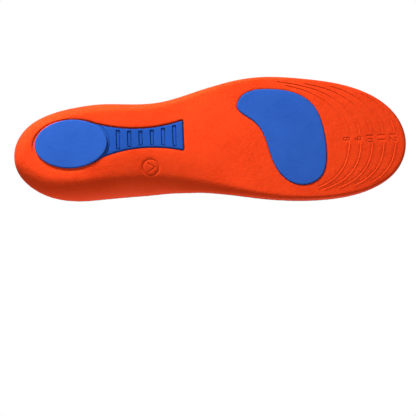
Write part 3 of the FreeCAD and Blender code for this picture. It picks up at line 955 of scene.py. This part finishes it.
def cell_template():
    """One raised cell in plan: its ring points, and faces of the whole cell.

    The outer ring is the cell's own share of the lattice, in the dark valley
    between cells; the inner rings are the puffy top.
    """
    half_across = CELL_ACROSS / 2
    tip = (CELL_ALONG ** 2 + half_across ** 2) / (2 * CELL_ALONG)
    shoulder = CELL_ALONG - tip
    corners = [
        (tip, 0.0), (shoulder, half_across), (-shoulder, half_across),
        (-tip, 0.0), (-shoulder, -half_across), (shoulder, -half_across),
    ]
    valley = []
    for k, corner in enumerate(corners):
        after = corners[(k + 1) % 6]
        valley += [corner, ((corner[0] + after[0]) / 2, (corner[1] + after[1]) / 2)]
    valley = np.array(valley)
    edge = valley * np.array(CELL_PULLS * 6)[:, None]
    rings = [valley, edge] + [edge * part for part in CELL_RINGS] + [np.zeros((1, 2))]
    plan = np.vstack(rings)
    rise = np.concatenate([np.full(len(r), v) for r, v in zip(rings, CELL_RISES)])
    faces = []
    picks = []
    for ring in range(3):
        for k in range(12):
            n = (k + 1) % 12
            faces.append([ring * 12 + k, ring * 12 + n, ring * 12 + 12 + n, ring * 12 + 12 + k])
            picks.append(1 if ring == 0 else 0)
    for k in range(12):
        faces.append([36 + k, 36 + (k + 1) % 12, 48])
        picks.append(0)
    return plan, rise, faces, picks


def textile_lattice():
    """Staggered columns of cells over the whole cover, welded at their valleys."""
    plan, rise, faces, picks = cell_template()
    low, high = RIM[:, :2].min(0) - 4 * MM, RIM[:, :2].max(0) + 4 * MM
    random = np.random.default_rng(7)
    points, rises, all_faces, all_picks = [], [], [], []
    count = 0
    for i, x in enumerate(np.arange(low[0], high[0], CELL_ALONG)):
        shift = CELL_ACROSS / 2 if i % 2 else 0.0
        for y in np.arange(low[1] + shift, high[1], CELL_ACROSS):
            wobble = np.ones(len(plan))
            wobble[12:] = random.uniform(*CELL_SPREAD)
            points.append(plan * wobble[:, None] + (x, y))
            rises.append(rise * random.uniform(*CELL_RISE_SPREAD))
            all_faces += [[k + count for k in f] for f in faces]
            all_picks += picks
            count += len(plan)
    points, rises = np.vstack(points), np.concatenate(rises)
    depth, _ = locate(RIM, points)
    keep = [k for k, f in enumerate(all_faces) if (depth[f] > 0).any()]
    all_faces = [all_faces[k] for k in keep]
    all_picks = [all_picks[k] for k in keep]
    return points, rises, depth, all_faces, all_picks


def weld_plan(points, values, faces):
    """Joins points that fall on the same place in plan."""
    key = np.round(points / CELL_WELD).astype(np.int64)
    _, first, same = np.unique(key, axis=0, return_index=True, return_inverse=True)
    same = same.reshape(-1)
    return points[first], [v[first] for v in values], [[int(same[k]) for k in f] for f in faces]


def trim_to_rim(points, values, depth, faces, picks):
    """Cuts faces along the line where depth is zero, and keeps the inside."""
    points = list(map(tuple, points))
    values = [list(v) for v in values]
    made = {}

    def crossing(a, b):
        key = (min(a, b), max(a, b))
        if key not in made:
            share = depth[a] / (depth[a] - depth[b])
            made[key] = len(points)
            points.append(tuple(
                points[a][k] + (points[b][k] - points[a][k]) * share for k in range(2)
            ))
            for v in values:
                v.append(v[a] + (v[b] - v[a]) * share)
        return made[key]

    kept, kept_picks = [], []
    for face, pick in zip(faces, picks):
        cut = []
        for k, a in enumerate(face):
            b = face[(k + 1) % len(face)]
            if depth[a] > 0:
                cut.append(a)
            if (depth[a] > 0) != (depth[b] > 0):
                cut.append(crossing(a, b))
        if len(cut) > 2:
            kept.append(cut)
            kept_picks.append(pick)
    return np.array(points), [np.array(v) for v in values], kept, kept_picks


def build_cover():
    points, rises, depth, faces, picks = textile_lattice()
    points, (rises, depth), faces = weld_plan(points, [rises, depth], faces)
    points, (rises,), faces, picks = trim_to_rim(points, [rises], depth, faces, picks)
    points, faces, used = drop_unused(points, faces)
    rises = rises[used]
    top = cover_height(points)
    height = top + CELL_PROUD - CELL_HEIGHT * (1 - rises)
    upper = np.column_stack([points, height])
    loop = longest_border({
        (a, face[(k + 1) % len(face)]) for face in faces for k, a in enumerate(face)
    })
    edge = wall_row(drop=COVER)
    _, place = locate(RIM, points[loop])
    lower_edge = np.column_stack([along_loop(edge[:, k], place) for k in range(3)])
    count = len(upper)
    side = [
        [loop[k], count + k, count + (k + 1) % len(loop), loop[(k + 1) % len(loop)]]
        for k in range(len(loop))
    ]
    spots = inner_spots(RIM, points, COVER_LATTICE)
    plan, under, owner = triangulate(lower_edge[:, :2], [], spots)
    bottom = np.column_stack([plan, cover_height(plan) - COVER])
    start = count + len(loop)
    index = np.where(owner >= 0, count + owner, np.arange(len(plan)) + start)
    under = index[facing(plan, under, False)]
    everything = np.vstack([upper, lower_edge, bottom])
    all_faces = faces + side + under.tolist()
    all_picks = picks + [1] * (len(side) + len(under))
    everything, all_faces, _ = drop_unused(everything, all_faces)
    piece = make_piece(
        "cover_textile", everything, all_faces, cover_materials(), picks=all_picks
    )
    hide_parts("top_cover")


# ---- materials ----

def srgb(red, green, blue):
    """Linear colour from 0..255 display values."""
    linear = []
    for value in (red, green, blue):
        part = value / 255
        linear.append(part / 12.92 if part <= 0.04045 else ((part + 0.055) / 1.055) ** 2.4)
    return (*linear, 1.0)


def new_material(name):
    material = bpy.data.materials.new(name)
    material.use_nodes = True
    tree = material.node_tree
    shader = tree.nodes["Principled BSDF"]
    place = tree.nodes.new("ShaderNodeTexCoord").outputs["Object"]
    return material, tree, shader, place


def set_inputs(node, values):
    for name, value in values.items():
        node.inputs[name].default_value = value


def grey(value):
    return (value, value, value, 1)


def noise(tree, place, scale, detail=2.0, rough=0.5):
    node = tree.nodes.new("ShaderNodeTexNoise")
    set_inputs(node, {"Scale": scale, "Detail": detail, "Roughness": rough})
    tree.links.new(place, node.inputs["Vector"])
    return node.outputs["Fac"]


def ramp(tree, value, low, high, low_colour, high_colour):
    node = tree.nodes.new("ShaderNodeValToRGB")
    node.color_ramp.elements[0].position = low
    node.color_ramp.elements[1].position = high
    node.color_ramp.elements[0].color = low_colour
    node.color_ramp.elements[1].color = high_colour
    tree.links.new(value, node.inputs["Fac"])
    return node.outputs["Color"]


def mix(tree, share, first, second):
    """Two colours mixed; each argument is a value or another node's output."""
    node = tree.nodes.new("ShaderNodeMix")
    node.data_type = "RGBA"
    for socket, value in (("Factor", share), (6, first), (7, second)):
        if isinstance(value, (float, tuple)):
            node.inputs[socket].default_value = value
        else:
            tree.links.new(value, node.inputs[socket])
    return node.outputs[2]


def blend_out(tree, share, first, second, output):
    """Feeds an output from two shaders, blended by a share."""
    blend = tree.nodes.new("ShaderNodeMixShader")
    tree.links.new(share, blend.inputs["Fac"])
    tree.links.new(first, blend.inputs[1])
    tree.links.new(second, blend.inputs[2])
    tree.links.new(blend.outputs["Shader"], tree.nodes[output].inputs["Surface"])


def bump_chain(tree, shader, layers):
    """Stacks bumps: (height output, distance in metres, strength)."""
    normal = None
    for height, distance, strength in layers:
        node = tree.nodes.new("ShaderNodeBump")
        set_inputs(node, {"Distance": distance, "Strength": strength})
        tree.links.new(height, node.inputs["Height"])
        if normal is not None:
            tree.links.new(normal, node.inputs["Normal"])
        normal = node.outputs["Normal"]
    tree.links.new(normal, shader.inputs["Normal"])


def moulded(name, dark, light, roughness, grain, grain_depth, specular):
    """A moulded soft material: faint colour clouds and a fine skin grain."""
    material, tree, shader, place = new_material(name)
    clouds = noise(tree, place, 45.0, 3.0)
    specks = noise(tree, place, grain * 0.8, 2.0, 0.7)
    colour = ramp(tree, clouds, 0.3, 0.7, dark, light)
    colour = mix(tree, ramp(tree, specks, 0.3, 0.7, grey(0), grey(1)), colour, light)
    tree.links.new(colour, shader.inputs["Base Color"])
    rough = ramp(tree, specks, 0.3, 0.7, grey(roughness - 0.06), grey(roughness + 0.06))
    tree.links.new(rough, shader.inputs["Roughness"])
    shader.inputs["Specular IOR Level"].default_value = specular
    bump_chain(tree, shader, [
        (noise(tree, place, grain, 3.0, 0.6), grain_depth, 0.6),
        (noise(tree, place, grain * 0.22, 2.0), grain_depth * 2.5, 0.35),
    ])
    return material, shader


def foam_material():
    material, shader = moulded(
        "orange_foam", srgb(224, 57, 21), srgb(242, 71, 29),
        roughness=0.66, grain=900.0, grain_depth=0.3 * MM, specular=0.02,
    )
    set_inputs(shader, {
        "Subsurface Weight": 0.12,
        "Subsurface Radius": (1.0, 0.25, 0.1),
        "Subsurface Scale": 2 * MM,
    })
    return material


def pad_material():
    return moulded(
        "blue_gel", srgb(34, 80, 168), srgb(46, 94, 186),
        roughness=0.5, grain=900.0, grain_depth=0.2 * MM, specular=0.2,
    )[0]


def shank_material():
    return moulded(
        "blue_shank", srgb(26, 72, 158), srgb(36, 84, 174),
        roughness=0.5, grain=900.0, grain_depth=0.12 * MM, specular=0.2,
    )[0]


def film_material():
    return moulded(
        "adhesive_film", srgb(190, 70, 40), srgb(215, 95, 55),
        roughness=0.35, grain=1500.0, grain_depth=0.02 * MM, specular=0.5,
    )[0]


def knit_height(tree, place):
    """Fine knit loops: two crossing bands of waves, broken up by noise."""
    waves = []
    for direction, scale in (("X", 640.0), ("Y", 560.0)):
        wave = tree.nodes.new("ShaderNodeTexWave")
        wave.wave_type = "BANDS"
        wave.bands_direction = direction
        set_inputs(
            wave, {"Scale": scale, "Distortion": 1.6, "Detail": 1.0, "Detail Scale": 1.5}
        )
        tree.links.new(place, wave.inputs["Vector"])
        waves.append(wave.outputs["Fac"])
    node = tree.nodes.new("ShaderNodeMath")
    node.operation = "MULTIPLY"
    tree.links.new(waves[0], node.inputs[0])
    tree.links.new(waves[1], node.inputs[1])
    return node.outputs[0]


def textile(name, dark, light, painted_highlight):
    material, tree, shader, place = new_material(name)
    clouds = noise(tree, place, 120.0, 3.0)
    knit = knit_height(tree, place)
    colour = ramp(tree, clouds, 0.3, 0.7, dark, light)
    # Painted highlight: the colour goes paler and whiter on the crests of the knit loops,
    # wherever the knit height that drives the bump is high.
    share = ramp(tree, knit, 0.0, 0.8, grey(0), grey(painted_highlight))
    colour = mix(tree, share, colour, mix(tree, 0.25, light, grey(1)))
    tree.links.new(colour, shader.inputs["Base Color"])
    set_inputs(shader, {"Roughness": 0.9, "Specular IOR Level": 0.04})
    bump_chain(tree, shader, [
        (knit, 0.12 * MM, 0.8),
        (noise(tree, place, 900.0, 3.0), 0.08 * MM, 0.4),
    ])
    return material


def cover_materials():
    """The cells, and the dark valleys between them."""
    return [
        textile("cover_cells", srgb(0, 128, 188), srgb(0, 154, 208), painted_highlight=0.12),
        textile("cover_valleys", srgb(1, 12, 26), srgb(3, 20, 40), painted_highlight=0.05),
    ]


# ---- stage: floor, light and camera ----

def floor_material():
    """Pale floor that is clear from below, so the underside can be seen."""
    material, tree, shader, place = new_material("studio_floor")
    clouds = noise(tree, place, 3.0)
    colour = ramp(tree, clouds, 0.3, 0.7, srgb(219, 219, 221), srgb(223, 223, 224))
    tree.links.new(colour, shader.inputs["Base Color"])
    shader.inputs["Roughness"].default_value = 0.8
    clear = tree.nodes.new("ShaderNodeBsdfTransparent").outputs["BSDF"]
    side = tree.nodes.new("ShaderNodeNewGeometry").outputs["Backfacing"]
    blend_out(tree, side, shader.outputs["BSDF"], clear, "Material Output")
    return material


FLOOR_HALF = 4.0
FLOOR_DROP = 0.02 * MM


def build_floor():
    level = CAD_BOX[0].z - FLOOR_DROP
    corners = [(x * FLOOR_HALF, y * FLOOR_HALF, level)
               for x, y in ((-1, -1), (1, -1), (1, 1), (-1, 1))]
    mesh = bpy.data.meshes.new("floor")
    mesh.from_pydata(corners, [], [(0, 1, 2, 3)])
    mesh.materials.append(floor_material())
    floor = add_object("floor", mesh)
    for ray in ("shadow", "diffuse", "glossy", "transmission"):
        setattr(floor, "visible_" + ray, False)


WORLD_ABOVE = 0.55
WORLD_BELOW = 0.1

# Name, direction from the insole, distance, size, power, direct light only.
LIGHTS = [
    ("key_above", (-0.3, -0.9, 0.85), 1.2, 0.7, 11.0, False),
    ("fill_above", (0.8, 0.6, 1.0), 1.3, 1.0, 4.0, False),
    ("key_below", (0.42, 0.85, -0.42), 0.62, 0.2, 7.3, True),
    ("fill_below", (0.1, -0.2, -1.0), 1.1, 0.8, 4.4, True),
]


def area_light(name, towards, distance, size, power, direct_only):
    """A soft round light that shines on the insole from a direction."""
    light = bpy.data.lights.new(name, "AREA")
    light.shape = "DISK"
    light.size = size
    light.energy = power
    if direct_only:
        light.cycles.max_bounces = 0
    lamp = add_object(name, light)
    lamp.location = Vector(towards).normalized() * distance
    lamp.rotation_mode = "QUATERNION"
    lamp.rotation_quaternion = (-lamp.location).to_track_quat("-Z", "Y")
    lamp.visible_glossy = not direct_only


def build_lights():
    for light in LIGHTS:
        area_light(*light)


def build_world():
    """Light from above, hardly any from below, and plain white for the camera."""
    world = bpy.data.worlds.new("studio")
    world.use_nodes = True
    tree = world.node_tree
    light = tree.nodes["Background"]
    place = tree.nodes.new("ShaderNodeTexCoord").outputs["Generated"]
    split = tree.nodes.new("ShaderNodeSeparateXYZ")
    tree.links.new(place, split.inputs["Vector"])
    lift = tree.nodes.new("ShaderNodeMapRange")
    set_inputs(lift, {"From Min": -0.25, "From Max": 0.25})
    tree.links.new(split.outputs["Z"], lift.inputs["Value"])
    shade = ramp(tree, lift.outputs["Result"], 0.0, 1.0, grey(WORLD_BELOW), grey(WORLD_ABOVE))
    tree.links.new(shade, light.inputs["Color"])
    light.inputs["Strength"].default_value = 1.0
    seen = tree.nodes.new("ShaderNodeBackground")
    set_inputs(seen, {"Color": grey(1), "Strength": 1.0})
    ray = tree.nodes.new("ShaderNodeLightPath").outputs["Is Camera Ray"]
    lit, white = light.outputs["Background"], seen.outputs["Background"]
    blend_out(tree, ray, lit, white, "World Output")
    bpy.context.scene.world = world
    bpy.context.scene.view_settings.view_transform = "Standard"


# Azimuth, elevation and roll in degrees.
CAMERA_TURN = (178.2, -102.5, -4.5)
CAMERA_DISTANCE = 0.595
CAMERA_LENS = 70.1
CAMERA_PIVOT = (0, 0.9 * MM, PAD_STAND_OUT)
AIM_UP = 0.0851
AIM_RIGHT = -0.001


def build_camera():
    """Looks up at the underside from the medial side, insole above the middle."""
    azimuth, elevation, roll = map(math.radians, CAMERA_TURN)
    back = Vector((
        math.sin(azimuth) * math.cos(elevation),
        -math.cos(azimuth) * math.cos(elevation),
        math.sin(elevation),
    ))
    across = Vector((math.cos(azimuth), math.sin(azimuth), 0))
    upward = back.cross(across)
    right = across * math.cos(roll) + upward * math.sin(roll)
    top = upward * math.cos(roll) - across * math.sin(roll)
    facing_origin = Matrix((right, top, back)).transposed()
    aim = Vector((AIM_RIGHT, AIM_UP, -1)).normalized()
    turn = aim.rotation_difference(Vector((0, 0, -1))).to_matrix()
    data = bpy.data.cameras.new("camera")
    data.lens = CAMERA_LENS
    data.clip_start = 0.01
    camera = add_object("camera", data)
    place = back * CAMERA_DISTANCE + Vector(CAMERA_PIVOT)
    camera.matrix_world = Matrix.Translation(place) @ (facing_origin @ turn).to_4x4()
    bpy.context.scene.camera = camera


def finish_bonds():
    """The thin adhesive layers keep their CAD shape under the blue parts."""
    glue = film_material()
    for node in ("shank_bond", "heel_pad_bond", "forefoot_pad_bond"):
        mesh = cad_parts[node].data
        mesh.materials.clear()
        mesh.materials.append(glue)


build_foam()
build_pad("heel_cushion", "heel_pad", HEEL_PAD)
build_pad("forefoot_cushion", "forefoot_pad", FOREFOOT_PAD)
build_shank()
build_film()
build_cover()
finish_bonds()
build_floor()
build_lights()
build_world()
build_camera()
